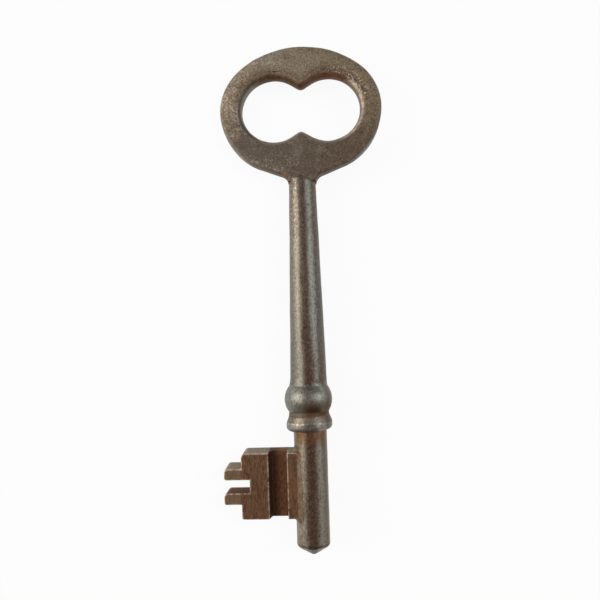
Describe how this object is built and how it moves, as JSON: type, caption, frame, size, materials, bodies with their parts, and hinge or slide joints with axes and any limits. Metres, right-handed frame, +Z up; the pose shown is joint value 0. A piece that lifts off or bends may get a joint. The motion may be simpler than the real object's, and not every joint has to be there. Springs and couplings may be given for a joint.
{
  "type": "skeleton key",
  "caption": "Long bitted lever key with a two-lobed oval bow, tapered shank, ball and ring collars, a round pin and a toothed, grooved bit.",
  "frame": {"origin": "on the stem's axis, in the plane of the ring collar's underside, where the key stops against the lock", "axes": "+Y along the stem from the nose to the bow, +X across the key away from the bit, +Z up out of the face of the bow with the key lying flat"},
  "size_m": [0.0412, 0.1254, 0.0116],
  "materials": {
    "bow_iron": "dull brown-grey patina with fine cast speckle and worn paler edges",
    "stem_steel": "worn satin steel, stained brown and lightly rusted in the corners",
    "bit_steel": "red-brown oxidised steel with file marks and bright worn edges",
    "braze_metal": "dull orange-brown tarnish"
  },
  "bodies": {
    "root": {"bow": "bow_iron", "stem": "stem_steel", "ball_collar": "stem_steel", "ring_collar": "stem_steel", "bit": "bit_steel", "bow_braze": "braze_metal", "bit_braze": "braze_metal", "collar_braze": "braze_metal"}
  },
  "joints": []
}
